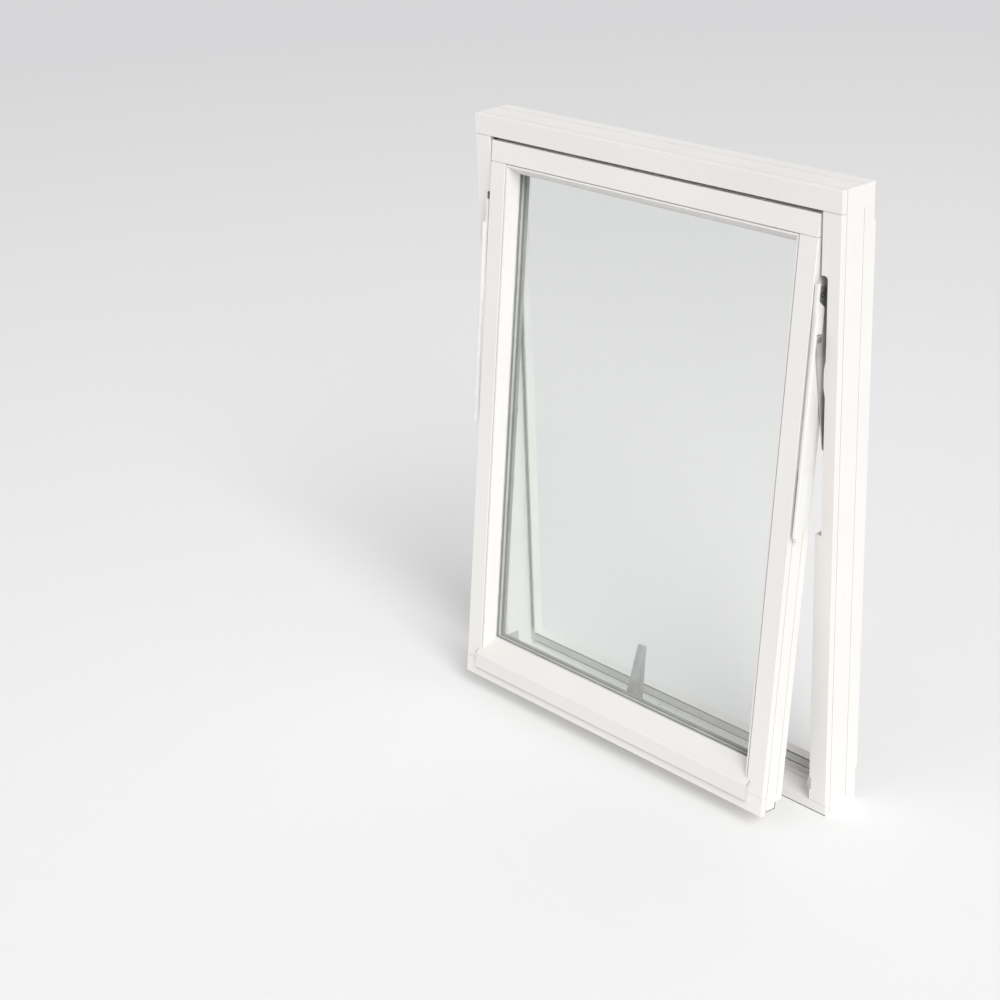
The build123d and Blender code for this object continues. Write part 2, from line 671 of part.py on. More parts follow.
# Stay arms and top shoes
arm_x0 = SX + ARM_OFFSET
arm_x1 = arm_x0 + ARM_THICK
arm = slab(arm_x0, arm_x1, PIVOT_Y - ARM_WIDTH / 2, PIVOT_Y + ARM_WIDTH / 2,
           FRAME_PIVOT_Z, FRAME_PIVOT_Z + ARM)
for z in (FRAME_PIVOT_Z, FRAME_PIVOT_Z + ARM):
    arm += rod(ARM_WIDTH / 2, arm_x0, arm_x1, PIVOT_Y, z)
for z in (FRAME_PIVOT_Z, FRAME_PIVOT_Z + ARM):
    arm -= rod(PIN_RADIUS + PIN_FIT, arm_x0 - 1, arm_x1 + 1, PIVOT_Y, z)
arm = arm.rotate(Axis((0, PIVOT_Y, FRAME_PIVOT_Z), (1, 0, 0)), OPEN_DEG)
nodes["arm_right"] = arm
nodes["arm_left"] = other_side(arm)
shoe = slab(SX + SHOE_OFFSET, SX + SHOE_OFFSET + SHOE_THICK, PIVOT_Y - SHOE_HALF,
            PIVOT_Y + SHOE_HALF, SHOE_CLOSED_Z - SHOE_LONG / 2,
            SHOE_CLOSED_Z + SHOE_LONG / 2)
shoe -= rod(PIN_RADIUS + PIN_FIT, SX, SX + 2 * SHOE_OFFSET, PIVOT_Y, SHOE_CLOSED_Z)
shoe = Pos(0, 0, -drop) * shoe
nodes["shoe_right"] = shoe
nodes["shoe_left"] = other_side(shoe)

for name, shape in nodes.items():
    export_step(shape, "parts/" + name + ".step")
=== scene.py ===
import math

import bpy
from mathutils import Matrix, Vector


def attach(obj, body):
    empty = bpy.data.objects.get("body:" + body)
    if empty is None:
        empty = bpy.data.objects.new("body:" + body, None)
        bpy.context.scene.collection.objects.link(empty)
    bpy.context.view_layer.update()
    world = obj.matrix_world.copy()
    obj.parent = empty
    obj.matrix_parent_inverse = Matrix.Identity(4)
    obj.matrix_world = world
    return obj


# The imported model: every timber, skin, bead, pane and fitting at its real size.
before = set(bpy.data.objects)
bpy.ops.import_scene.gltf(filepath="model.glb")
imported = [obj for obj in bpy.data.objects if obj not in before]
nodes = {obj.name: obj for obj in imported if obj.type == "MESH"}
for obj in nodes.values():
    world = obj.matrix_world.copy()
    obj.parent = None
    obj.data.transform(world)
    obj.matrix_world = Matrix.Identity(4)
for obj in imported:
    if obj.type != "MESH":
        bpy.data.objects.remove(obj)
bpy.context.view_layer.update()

# Camera: it stands outside, to the right of the window and about a metre and a half
# above its middle, and looks down at the open sash through a long lens, a little rolled.
picture_side = 1000.0
sensor = 36.0
focal_pixels = 1985.0
lift_pixels = 60.0
camera_place = Vector((2.383, -2.546, 2.070))
turned_left = math.radians(48.15)
looking_down = math.radians(22.51)
rolled = math.radians(-2.39)
quarter_turn = math.pi / 2
eye = bpy.data.cameras.new("camera")
eye.sensor_width = sensor
eye.lens = sensor * focal_pixels / picture_side
eye.shift_y = -lift_pixels / picture_side
camera = bpy.data.objects.new("camera", eye)
bpy.context.scene.collection.objects.link(camera)
camera.matrix_world = (
    Matrix.Translation(camera_place)
    @ Matrix.Rotation(turned_left, 4, "Z")
    @ Matrix.Rotation(quarter_turn - looking_down, 4, "X")
    @ Matrix.Rotation(rolled, 4, "Z")
)
bpy.context.scene.camera = camera
bpy.context.scene.view_settings.view_transform = "Standard"


# Room light: an even pale dome, one wide soft lamp from the right, the front and above,
# and a weak one from the front. Their level shows a colour about as it is written.
class Wire:
    """An output of a shader node. Sums written with wires add their Math nodes."""

    def __init__(self, sheet, socket):
        self.sheet = sheet
        self.socket = socket

    def math(self, operation, first, second):
        return self.sheet.node("ShaderNodeMath", {"operation": operation}, {0: first, 1: second})

    def __add__(self, other):
        return self.math("ADD", self, other)

    def __radd__(self, other):
        return self.math("ADD", other, self)

    def __sub__(self, other):
        return self.math("SUBTRACT", self, other)

    def __rsub__(self, other):
        return self.math("SUBTRACT", other, self)

    def __mul__(self, other):
        return self.math("MULTIPLY", self, other)

    def __rmul__(self, other):
        return self.math("MULTIPLY", other, self)

    def __truediv__(self, other):
        return self.math("DIVIDE", self, other)

    def __rtruediv__(self, other):
        return self.math("DIVIDE", other, self)

    def largest(self, other):
        return self.math("MAXIMUM", self, other)


class Sheet:
    """A shader's node tree, drawn from empty."""

    def __init__(self, owner):
        owner.use_nodes = True
        self.tree = owner.node_tree
        self.tree.nodes.clear()

    def node(self, kind, settings=None, inputs=None, output=0):
        """Add a node: its type, its settings, then the values or links of its sockets."""
        made = self.tree.nodes.new(kind)
        for name, value in (settings or {}).items():
            if name == "stops":
                ramp = made.color_ramp.elements
                while len(ramp) < len(value):
                    ramp.new(1.0)
                for element, (place, shade) in zip(ramp, value):
                    element.position = place
                    element.color = shade
            else:
                setattr(made, name, value)
        for key, value in (inputs or {}).items():
            if isinstance(value, Wire):
                self.tree.links.new(value.socket, made.inputs[key])
            else:
                made.inputs[key].default_value = value
        return Wire(self, made.outputs[output]) if made.outputs else None

    def place(self):
        """Where a point of the piece is, in metres."""
        return self.node("ShaderNodeTexCoord", output="Object")


def grey(level):
    return (level, level, level, 1.0)


dome_level = 0.59
far_grey = (0.685, 0.680, 0.695, 1.0)
world = bpy.data.worlds.new("room")
bpy.context.scene.world = world
room = Sheet(world)
straight = room.node("ShaderNodeLightPath", output="Is Camera Ray")
mirrored = room.node("ShaderNodeLightPath", output="Is Glossy Ray")
through = room.node("ShaderNodeLightPath", output="Is Transmission Ray")
seen = straight.largest(mirrored).largest(through)
dome = room.node("ShaderNodeBackground", None, {"Color": grey(1.0), "Strength": dome_level})
backdrop = room.node("ShaderNodeBackground", None, {"Color": far_grey, "Strength": 1.0})
sky = room.node("ShaderNodeMixShader", None, {0: seen, 1: dome, 2: backdrop})
room.node("ShaderNodeOutputWorld", None, {"Surface": sky})


def hang_lamp(name, comes_from, level, width):
    """A far lamp, as wide in the sky as an angle, whose light comes from a direction."""
    light = bpy.data.lights.new(name, "SUN")
    light.energy = level
    light.angle = width
    lamp = bpy.data.objects.new(name, light)
    bpy.context.scene.collection.objects.link(lamp)
    lamp.rotation_mode = "QUATERNION"
    lamp.rotation_quaternion = Vector(comes_from).to_track_quat("Z", "Y")


hang_lamp("soft_lamp", comes_from=(0.72, -0.32, 0.62), level=1.95, width=math.radians(32))
hang_lamp("fill_lamp", comes_from=(-0.1, -1.0, 0.15), level=0.22, width=math.radians(70))

# Floor: one wide matt sheet with a painted pool of light: lightest in front of the window
# and darker with distance, where it turns into the backdrop's grey. It keeps the window's
# soft shadow.
floor_radius = 60.0
painted_light_centre = (0.9, -1.0, 0.0)
ramp_reach = 10.0
fade_starts = 8.0
fade_ends = 20.0
floor_light_tones = [
    (0.00, grey(0.940)),
    (0.13, grey(0.905)),
    (0.25, grey(0.850)),
    (0.42, (0.785, 0.785, 0.787, 1.0)),
    (0.62, (0.735, 0.733, 0.740, 1.0)),
    (0.88, far_grey),
]
bpy.ops.object.select_all(action="DESELECT")
bpy.ops.mesh.primitive_circle_add(vertices=96, radius=floor_radius, fill_type="NGON")
floor = bpy.context.object
floor.name = "floor"


def finish(name):
    """A new material, its empty sheet, and the place of each point that it colours."""
    material = bpy.data.materials.new(name)
    sheet = Sheet(material)
    return material, sheet, sheet.place()


floor_cover, sheet, spot = finish("floor_sheet")
# Painted pool of light: the floor's colour fades from a light spot in front of the window.
away = sheet.node("ShaderNodeVectorMath", {"operation": "DISTANCE"},
                  {0: spot, 1: painted_light_centre}, "Value")
tone = sheet.node("ShaderNodeValToRGB", {"stops": floor_light_tones}, {0: away / ramp_reach})
matt = sheet.node("ShaderNodeBsdfDiffuse", None, {"Color": tone})
glow = sheet.node("ShaderNodeEmission", None, {"Color": far_grey})
edge = sheet.node("ShaderNodeMapRange", {"interpolation_type": "SMOOTHSTEP"},
                  {"Value": away, "From Min": fade_starts, "From Max": fade_ends})
ground = sheet.node("ShaderNodeMixShader", None, {0: edge, 1: matt, 2: glow})
sheet.node("ShaderNodeOutputMaterial", None, {"Surface": ground})
floor.data.materials.append(floor_cover)

# White factory paint on timber: warm white, a hint of the grain under the coat and a
# satin that wanders a little. The grain runs along each member. The side beads are a
# touch deeper, as painted shade where their slopes face the light.
noise_low = 0.35
noise_high = 0.65
streak_share = 0.6
upright_grain = (420.0, 420.0, 9.0)
level_grain = (9.0, 420.0, 420.0)
dark_paint = (0.835, 0.815, 0.790, 1.0)
light_paint = (0.872, 0.856, 0.835, 1.0)
dark_shaded_bead_paint = (0.795, 0.772, 0.748, 1.0)
light_shaded_bead_paint = (0.822, 0.800, 0.775, 1.0)


def put_on(material, *names):
    """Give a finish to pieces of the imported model."""
    for name in names:
        for holder in nodes[name].material_slots:
            holder.material = material


def noise(sheet, where, scale, detail=3.0):
    return sheet.node("ShaderNodeTexNoise", None,
                      {"Vector": where, "Scale": scale, "Detail": detail})


def streaked(sheet, where, scales, detail):
    """Noise with its own scale along each axis."""
    drawn_out = sheet.node("ShaderNodeMapping", None, {"Vector": where, "Scale": scales})
    return noise(sheet, drawn_out, 1.0, detail)


def between(sheet, share, low, high):
    """Spread the middle range of a noise, where nearly all of it lies, over low to high."""
    return sheet.node("ShaderNodeMapRange", None,
                      {"Value": share, "From Min": noise_low, "From Max": noise_high,
                       "To Min": low, "To Max": high})


def mixed(sheet, share, first, second):
    return sheet.node("ShaderNodeMix", {"data_type": "RGBA"}, {0: share, 6: first, 7: second}, 2)


def mottled(sheet, share, dark, light):
    """A colour that wanders between two with a noise."""
    return mixed(sheet, between(sheet, share, 0.0, 1.0), dark, light)


def bumped(sheet, height, strength, distance):
    return sheet.node("ShaderNodeBump", None,
                      {"Height": height, "Strength": strength, "Distance": distance})


def shown(sheet, colour, roughness, normal=None, **constants):
    """Finish a sheet with the surface shader and the output."""
    inputs = {"Base Color": colour, "Roughness": roughness}
    if normal is not None:
        inputs["Normal"] = normal
    inputs.update({name.replace("_", " "): value for name, value in constants.items()})
    surface = sheet.node("ShaderNodeBsdfPrincipled", None, inputs)
    sheet.node("ShaderNodeOutputMaterial", None, {"Surface": surface})


def painted_timber(name, along, dark, light):
    material, sheet, where = finish(name)
    streaks = streaked(sheet, where, along, detail=4.0)
    cloud = noise(sheet, where, scale=6.0)
    share = streaks * streak_share + cloud * (1.0 - streak_share)
    colour = mottled(sheet, share, dark, light)
    rough = between(sheet, cloud, low=0.40, high=0.52)
    grain = bumped(sheet, streaks, strength=0.12, distance=0.0006)
    shown(sheet, colour, rough, grain, Specular_IOR_Level=0.4)
    return material


upright_timber = painted_timber("painted_timber_upright", upright_grain, dark_paint, light_paint)
level_timber = painted_timber("painted_timber_level", level_grain, dark_paint, light_paint)
# A darker copy of the paint for the side beads: painted shade.
shaded_bead_timber = painted_timber("painted_timber_bead_shaded", upright_grain,
                             dark_shaded_bead_paint, light_shaded_bead_paint)
put_on(upright_timber, "jamb_left", "jamb_right", "stile_left", "stile_right")
put_on(level_timber, "head", "sill", "top_rail", "bottom_rail", "bead_top")
put_on(shaded_bead_timber, "bead_left", "bead_right")


# Powder coated aluminium: the skins over the outside of frame and sash, and the weather
# bead, pressed through a die as one bar, whose coat is a touch deeper as painted shade
# against the light on its sloped top. The powder melts to a fine pebbled skin.
def powder_coat(name, dark, light):
    material, sheet, where = finish(name)
    cells = noise(sheet, where, scale=900.0, detail=2.0)
    cloud = noise(sheet, where, scale=3.0)
    colour = mottled(sheet, cloud, dark, light)
    rough = between(sheet, cloud, low=0.34, high=0.44)
    pebbles = bumped(sheet, cells, strength=0.05, distance=0.0003)
    shown(sheet, colour, rough, pebbles, Specular_IOR_Level=0.5)
    return material


coated = powder_coat("powder_coat", dark=(0.842, 0.820, 0.795, 1.0),
                     light=(0.868, 0.850, 0.828, 1.0))
# A darker copy of the coat for the weather bead: painted shade on its sloped top.
shaded_bead_coat = powder_coat("shaded_bead_coat", dark=(0.795, 0.772, 0.745, 1.0),
                        light=(0.820, 0.800, 0.775, 1.0))
put_on(coated, "head_skin", "sill_skin", "jamb_skin_left", "jamb_skin_right", "top_rail_skin",
       "bottom_rail_skin", "stile_skin_left", "stile_skin_right")
put_on(shaded_bead_coat, "weather_bead")

# Side bars of the swing gear, and the keeper on the sill: steel under a smooth white
# lacquer, which is glossier than the paint on the timber.
white_lacquer, sheet, where = finish("white_lacquer")
cloud = noise(sheet, where, scale=30.0)
colour = mottled(sheet, cloud, dark=(0.825, 0.815, 0.800, 1.0),
                 light=(0.845, 0.838, 0.825, 1.0))
shown(sheet, colour, between(sheet, cloud, low=0.28, high=0.34))
put_on(white_lacquer, "bar_left", "bar_right", "keeper")

# Bare metal of the gear and the handle: zinc plated steel on tracks, plates and lock
# case, duller on the arms, and a satin finish on the lever and its rose. All of it has
# fine brush marks up and down.
brush_marks = (900.0, 900.0, 25.0)


def plated(name, dark, light, rough, metal):
    material, sheet, where = finish(name)
    brush = streaked(sheet, where, brush_marks, detail=3.0)
    colour = mottled(sheet, noise(sheet, where, scale=60.0), dark, light)
    shown(sheet, colour, between(sheet, brush, *rough),
          bumped(sheet, brush, strength=0.1, distance=0.0003), Metallic=metal)
    return material


zinc = plated("zinc_plate", dark=(0.52, 0.52, 0.51, 1.0), light=(0.66, 0.66, 0.65, 1.0),
              rough=(0.28, 0.42), metal=0.8)
dull_zinc = plated("dull_zinc", dark=(0.56, 0.56, 0.55, 1.0), light=(0.64, 0.64, 0.63, 1.0),
                   rough=(0.40, 0.52), metal=0.25)
satin = plated("satin_metal", dark=(0.47, 0.47, 0.47, 1.0), light=(0.56, 0.56, 0.56, 1.0),
               rough=(0.26, 0.36), metal=0.9)
put_on(zinc, "track_left", "track_right", "arm_foot_left", "arm_foot_right",
       "top_plate_left", "top_plate_right", "lock_case")
put_on(dull_zinc, "arm_left", "arm_right")
put_on(satin, "lever", "rose")

# Seals of the glass: a rubber strip pressed in on each side of the panes, dark inside
# and pale outside. The die leaves a fine dull grain on it.
patch_scale = 25.0
rough_swing = 0.06
rubber_rough = 0.6
rubber_grain = 900.0


def dull_skin(sheet, where, colour, rough, grain_scale):
    """Finish a sheet with the grain that a die or a mould leaves on rubber and plastic."""
    grain = noise(sheet, where, grain_scale, detail=2.0)
    shown(sheet, colour, between(sheet, grain, rough - rough_swing, rough + rough_swing),
          bumped(sheet, grain, strength=0.15, distance=0.0003), Specular_IOR_Level=0.35)


def moulded(name, dark, light, rough, grain_scale):
    material, sheet, where = finish(name)
    colour = mottled(sheet, noise(sheet, where, patch_scale), dark, light)
    dull_skin(sheet, where, colour, rough, grain_scale)
    return material


def rubber(name, dark, light):
    return moulded(name, dark, light, rubber_rough, rubber_grain)


put_on(rubber("dark_rubber", dark=(0.17, 0.17, 0.168, 1.0), light=(0.23, 0.23, 0.226, 1.0)),
       "seal_inner")
put_on(rubber("pale_rubber", dark=(0.70, 0.70, 0.69, 1.0), light=(0.77, 0.77, 0.76, 1.0)),
       "seal_outer")

# Seal of the frame: one grey rubber strip round the stop that the sash shuts against.
# It is paler along the sill: painted light, where the light falls on it.
lit_up_to = 0.050
seal_grey_from = 0.070
painted_lit_grey = (0.58, 0.58, 0.57, 1.0)
seal_grey = (0.29, 0.29, 0.285, 1.0)
stain = (0.20, 0.20, 0.195, 1.0)


def rising(sheet, value, start, end):
    """Nought up to start, one from end on, and rising evenly between them."""
    return sheet.node("ShaderNodeMapRange", None,
                      {"Value": value, "From Min": start, "From Max": end})


material, sheet, where = finish("sill_lit_rubber")
height = sheet.node("ShaderNodeSeparateXYZ", None, {0: where}, "Z")
# Painted light: the seal is paler low down, along the sill.
colour = mixed(sheet, rising(sheet, height, lit_up_to, seal_grey_from), painted_lit_grey, seal_grey)
stained = between(sheet, noise(sheet, where, patch_scale), low=0.0, high=0.12)
dull_skin(sheet, where, mixed(sheet, stained, colour, stain), rubber_rough, rubber_grain)
put_on(material, "frame_seal")

# Guide blocks and top shoes: moulded grey plastic. The blocks are screwed to the foot of
# the jambs and keep the closing sash in the middle, and the shoes slide in the tracks.
guide_plastic = moulded("grey_plastic", dark=(0.46, 0.46, 0.45, 1.0),
                        light=(0.54, 0.54, 0.53, 1.0), rough=0.45, grain_scale=700.0)
put_on(guide_plastic, "guide_left", "guide_right", "shoe_left", "shoe_right")

# Spacer of the glass unit: a grey bar with a line of dark sealant along each pane. The
# lines follow the depth in the sash, which leans out at its foot.
swing_axis_y = -0.023
swing_axis_z = 1.1319
open_turn = math.radians(6.8)
open_drop = 0.00286
sash_front = -0.043
spacer_middle = 0.034
sealant_inner = (0.0027, 0.0033)
sealant_outer = (0.0057, 0.0059)
sealant_grey = (0.16, 0.16, 0.158, 1.0)
lean = (0.0, math.cos(open_turn), -math.sin(open_turn))
front_along_lean = (
    sash_front - swing_axis_y
    + math.cos(open_turn) * swing_axis_y
    - math.sin(open_turn) * (swing_axis_z - open_drop)
)
material, sheet, where = finish("spacer_grey")
depth = sheet.node("ShaderNodeVectorMath", {"operation": "DOT_PRODUCT"},
                   {0: where, 1: lean}, "Value")
aside = depth - (front_along_lean + spacer_middle)
from_middle = aside.largest(0.0 - aside)
past_bar = rising(sheet, from_middle, *sealant_inner)
past_sealant = rising(sheet, from_middle, *sealant_outer)
bar_grey = mottled(sheet, noise(sheet, where, patch_scale), dark=(0.45, 0.45, 0.44, 1.0),
                   light=(0.51, 0.51, 0.495, 1.0))
colour = mixed(sheet, past_bar * (1.0 - past_sealant), bar_grey, sealant_grey)
dull_skin(sheet, where, colour, rough=0.6, grain_scale=500.0)
put_on(material, "spacer")

# Panes: two sheets of clear float glass with the faint green of their iron, clamped
# between the seals. Light falls straight through them, so their shadow is thin.
shadow_tint = (0.93, 0.95, 0.94, 1.0)
material, sheet, where = finish("float_glass")
tint = mottled(sheet, noise(sheet, where, scale=2.0), dark=(0.962, 0.970, 0.964, 1.0),
               light=(0.968, 0.976, 0.970, 1.0))
clear = sheet.node("ShaderNodeBsdfPrincipled", None,
                   {"Base Color": tint, "Roughness": 0.0, "IOR": 1.5,
                    "Transmission Weight": 1.0})
lit = sheet.node("ShaderNodeBsdfTransparent", None, {"Color": shadow_tint})
casts = sheet.node("ShaderNodeLightPath", output="Is Shadow Ray")
glass = sheet.node("ShaderNodeMixShader", None, {0: casts, 1: clear, 2: lit})
sheet.node("ShaderNodeOutputMaterial", None, {"Surface": glass})
put_on(material, "pane_outer", "pane_inner")

# Steel end plates of the swing gear: cut from thin strip with one rounded corner, each
# lies on its side bar above the boss and is held by one screw. Like all that the sash
# carries, they are drawn on the closed sash and then moved to where it stands open.
sash_foot = 0.0314
touching = 0.00002
smooth_below = math.radians(32)


def on_sash(across, deep, up):
    """A place on the closed sash, from its middle, its front face and its foot."""
    return Vector((across, sash_front + deep, sash_foot + up))


def blank(name, low, high):
    """A plain block between two corners, in metres, to be shaped."""
    bpy.ops.object.select_all(action="DESELECT")
    bpy.ops.mesh.primitive_cube_add(size=1.0, location=(Vector(low) + Vector(high)) / 2)
    piece = bpy.context.object
    piece.name = name
    piece.scale = Vector(high) - Vector(low)
    bpy.ops.object.transform_apply(location=True, rotation=True, scale=True)
    return piece


def pick(piece, kind, test):
    """Go to edit mode with the points, edges or faces chosen whose middle passes."""
    bpy.ops.object.mode_set(mode="EDIT")
    bpy.ops.mesh.select_mode(type=kind)
    bpy.ops.mesh.select_all(action="DESELECT")
    bpy.ops.object.mode_set(mode="OBJECT")
    mesh = piece.data
    if kind == "VERT":
        for point in mesh.vertices:
            point.select = test(point.co)
    else:
        for part in mesh.edges if kind == "EDGE" else mesh.polygons:
            corners = [mesh.vertices[i].co for i in part.vertices]
            part.select = test(sum(corners, Vector()) / len(corners))
    bpy.ops.object.mode_set(mode="EDIT")


def near(one, other):
    return abs(one - other) < touching


def rounded(piece, test, radius, steps):
    """Round the edges whose middle passes."""
    pick(piece, "EDGE", test)
    bpy.ops.mesh.bevel(offset=radius, segments=steps, affect="EDGES")


def alone(piece):
    """Choose this piece and no other."""
    bpy.ops.object.mode_set(mode="OBJECT")
    bpy.ops.object.select_all(action="DESELECT")
    piece.select_set(True)
    bpy.context.view_layer.objects.active = piece


def whole(piece):
    """Go to edit mode with all of a piece chosen."""
    alone(piece)
    bpy.ops.object.mode_set(mode="EDIT")
    bpy.ops.mesh.select_all(action="SELECT")


def swung(piece):
    """Carry a piece from the closed sash to where the open sash holds it."""
    whole(piece)
    bpy.ops.transform.rotate(value=open_turn, orient_axis="X",
                             center_override=(0.0, swing_axis_y, swing_axis_z))
    bpy.ops.transform.translate(value=(0.0, 0.0, -open_drop))
    bpy.ops.object.mode_set(mode="OBJECT")


def copy_of(piece, name):
    """A copy with its own mesh, left in edit mode with all of it chosen."""
    alone(piece)
    bpy.ops.object.duplicate(linked=False)
    twin = bpy.context.object
    twin.name = name
    whole(twin)
    return twin


def other_hand(piece):
    """The left hand twin of a right hand piece."""
    twin = copy_of(piece, piece.name.replace("right", "left"))
    bpy.ops.transform.resize(value=(-1.0, 1.0, 1.0), center_override=(0.0, 0.0, 0.0))
    bpy.ops.mesh.normals_make_consistent(inside=False)
    bpy.ops.object.mode_set(mode="OBJECT")
    return twin


def fit(piece, material, body):
    """Give a piece its finish and the body that carries it."""
    alone(piece)
    bpy.ops.object.shade_smooth_by_angle(angle=smooth_below)
    piece.data.materials.clear()
    piece.data.materials.append(material)
    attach(piece, body)


def fit_pair(piece, material, body):
    """Fit a right hand piece and its left hand twin."""
    fit(other_hand(piece), material, body)
    fit(piece, material, body)


plate_low = on_sash(0.40352, 0.0095, 0.949)
plate_high = on_sash(0.40480, 0.0295, 0.989)
end_plate = blank("end_plate_right", plate_low, plate_high)
rounded(end_plate, lambda at: near(at.y, plate_high.y) and near(at.z, plate_high.z),
        radius=0.008, steps=8)
rounded(end_plate, lambda at: near(at.x, plate_high.x), radius=0.0003, steps=2)
swung(end_plate)
fit_pair(end_plate, zinc, "sash")

# Screws: cold headed steel with a rounded rim and a round recess. One is modelled and
# the rest are copies: one in each end plate and each guide block, two in the keeper and
# two in the handle's rose.
screw_radius = 0.004
head_height = 0.0012
head_top = head_height / 2
rim_width = screw_radius * 0.52
rim_from = screw_radius * 0.9
recess_depth = 0.0008
recess_narrows = 0.75


def dished(piece, test, rim, inwards):
    """Sink the middle of a flat end and leave a rim round it."""
    pick(piece, "FACE", test)
    bpy.ops.mesh.inset(thickness=rim)
    bpy.ops.mesh.extrude_region_move(TRANSFORM_OT_translate={"value": inwards})


bpy.ops.object.select_all(action="DESELECT")
bpy.ops.mesh.primitive_cylinder_add(vertices=32, radius=screw_radius, depth=head_height)
screw = bpy.context.object
screw.name = "screw_pattern"
dished(screw, lambda at: near(at.z, head_top), rim_width, (0.0, 0.0, -recess_depth))
bpy.ops.transform.resize(value=(recess_narrows, recess_narrows, 1.0))
rounded(screw, lambda at: near(at.z, head_top) and at.xy.length > rim_from,
        radius=0.0004, steps=2)
bpy.ops.object.mode_set(mode="OBJECT")


def driven(name, place, facing, size):
    """A screw of a size against the pattern, its head a little proud of a place."""
    twin = copy_of(screw, name)
    bpy.ops.object.mode_set(mode="OBJECT")
    twin.matrix_world = (
        Matrix.Translation(place)
        @ Vector(facing).to_track_quat("Z", "Y").to_matrix().to_4x4()
        @ Matrix.Scale(size, 4)
    )
    bpy.ops.object.transform_apply(location=True, rotation=True, scale=True)
    return twin


dark_steel = plated("dark_steel", dark=(0.20, 0.20, 0.20, 1.0), light=(0.28, 0.28, 0.275, 1.0),
                    rough=(0.3, 0.45), metal=0.8)
for side, hand in ((1, "right"), (-1, "left")):
    outward = (side, 0, 0)
    inward = (-side, 0, 0)
    on_plate = on_sash(side * plate_high.x, 0.021, 0.974)
    on_keeper = Vector((side * 0.020, 0.0135, 0.0279))
    on_guide = Vector((side * 0.4021, -0.033, 0.056))
    on_rose = on_sash(side * 0.0122, 0.0609, 0.066)
    for name, place, facing, size, steel, body in (
        ("end_plate_screw_", on_plate, outward, 1.25, dark_steel, "sash"),
        ("keeper_screw_", on_keeper, (0, 0, 1), 0.7, dull_zinc, "frame"),
        ("guide_screw_", on_guide, inward, 0.75, dark_steel, "frame"),
        ("rose_screw_", on_rose, (0, 1, 0), 0.45, dark_steel, "sash"),
    ):
        head = driven(name + hand, place, facing, size)
        if body == "sash":
            swung(head)
        fit(head, steel, body)
bpy.data.objects.remove(screw)

# Rivet heads where each stay arm turns on its side bar: steel, domed and dimpled by the
# riveting tool. Each is the end of the pin that the arm hangs on.
rivet_radius = 0.0056
rivet_height = 0.0017
rivet_face = 0.4094
rivet_deep = 0.020
rivet_up = 0.897
rivet_rim = 0.0030
rivet_crown = 0.0011
dimple_depth = 0.0005
rivet_edge_from = 0.005
rivet_top = on_sash(rivet_face, rivet_deep, rivet_up)
bpy.ops.object.select_all(action="DESELECT")
bpy.ops.mesh.primitive_cylinder_add(
    vertices=40, radius=rivet_radius, depth=rivet_height,
    location=on_sash(rivet_face - rivet_height / 2, rivet_deep, rivet_up),
    rotation=(0.0, quarter_turn, 0.0),
)
rivet = bpy.context.object
rivet.name = "rivet_right"
bpy.ops.object.transform_apply(location=True, rotation=True, scale=True)
dished(rivet, lambda at: near(at.x, rivet_face), rivet_rim, (-dimple_depth, 0.0, 0.0))
rounded(rivet,
        lambda at: near(at.x, rivet_face) and (at - rivet_top).length > rivet_edge_from,
        rivet_crown, steps=4)
swung(rivet)
rivet_steel = plated("rivet_steel", dark=(0.27, 0.27, 0.265, 1.0),
                     light=(0.34, 0.34, 0.335, 1.0), rough=(0.4, 0.5), metal=0.3)
fit_pair(rivet, rivet_steel, "sash")

# Edge strips of the side bars: a lacquered moulding clipped along each bar's outer edge,
# which closes the pocket in the jamb when the window is shut. Its upper end is sloped.
strip_low = on_sash(0.4095, -0.0028, 0.5460)
strip_high = on_sash(0.4145, 0.0035, 0.9510)
end_slope = 0.0060


def raised(piece, test, by):
    """Lift the points that pass, or lower them if by is below nought."""
    pick(piece, "VERT", test)
    bpy.ops.transform.translate(value=(0.0, 0.0, by))


edge_strip = blank("bar_strip_right", strip_low, strip_high)
raised(edge_strip, lambda at: near(at.x, strip_high.x) and near(at.z, strip_high.z), -end_slope)
rounded(edge_strip, lambda at: near(at.x, strip_high.x) and near(at.y, strip_low.y),
        radius=0.0014, steps=4)
rounded(edge_strip, lambda at: near(at.z, strip_low.z) and near(at.y, strip_low.y),
        radius=0.0010, steps=3)
swung(edge_strip)
fit_pair(edge_strip, white_lacquer, "sash")

# Pocket liners: a dark shell inside the gear's pocket in each jamb, behind the arm and
# the track, that paints the shade in the pocket. A thin shell, open to the front, to the
# sash and at its foot.
pocket_low = Vector((0.4053, -0.0405, 0.5643))
pocket_high = Vector((0.4188, 0.0079, 1.0385))
# Painted shade: a dark colour for the shadowed inside of the pockets.
painted_pocket_shade = moulded("painted_pocket_shade", dark=(0.15, 0.145, 0.14, 1.0), light=(0.20, 0.19, 0.185, 1.0),
                    rough=0.7, grain_scale=300.0)


def opened(piece, test):
    """Take away the faces whose middle passes."""
    pick(piece, "FACE", test)
    bpy.ops.mesh.delete(type="FACE")


def walled(piece, thickness):
    """Give an open shell a wall, inwards from its faces."""
    whole(piece)
    bpy.ops.mesh.normals_make_consistent(inside=False)
    bpy.ops.object.mode_set(mode="OBJECT")
    wall = piece.modifiers.new("thickness", "SOLIDIFY")
    wall.thickness = thickness
    wall.offset = -1.0
    bpy.ops.object.modifier_apply(modifier=wall.name)


shade_liner = blank("pocket_liner_right", pocket_low, pocket_high)
opened(shade_liner, lambda at: near(at.x, pocket_low.x) or near(at.y, pocket_low.y)
       or near(at.z, pocket_low.z))
rounded(shade_liner, lambda at: near(at.x, pocket_high.x) and near(at.z, pocket_high.z),
        radius=0.006, steps=6)
walled(shade_liner, thickness=0.0005)
fit_pair(shade_liner, painted_pocket_shade, "frame")
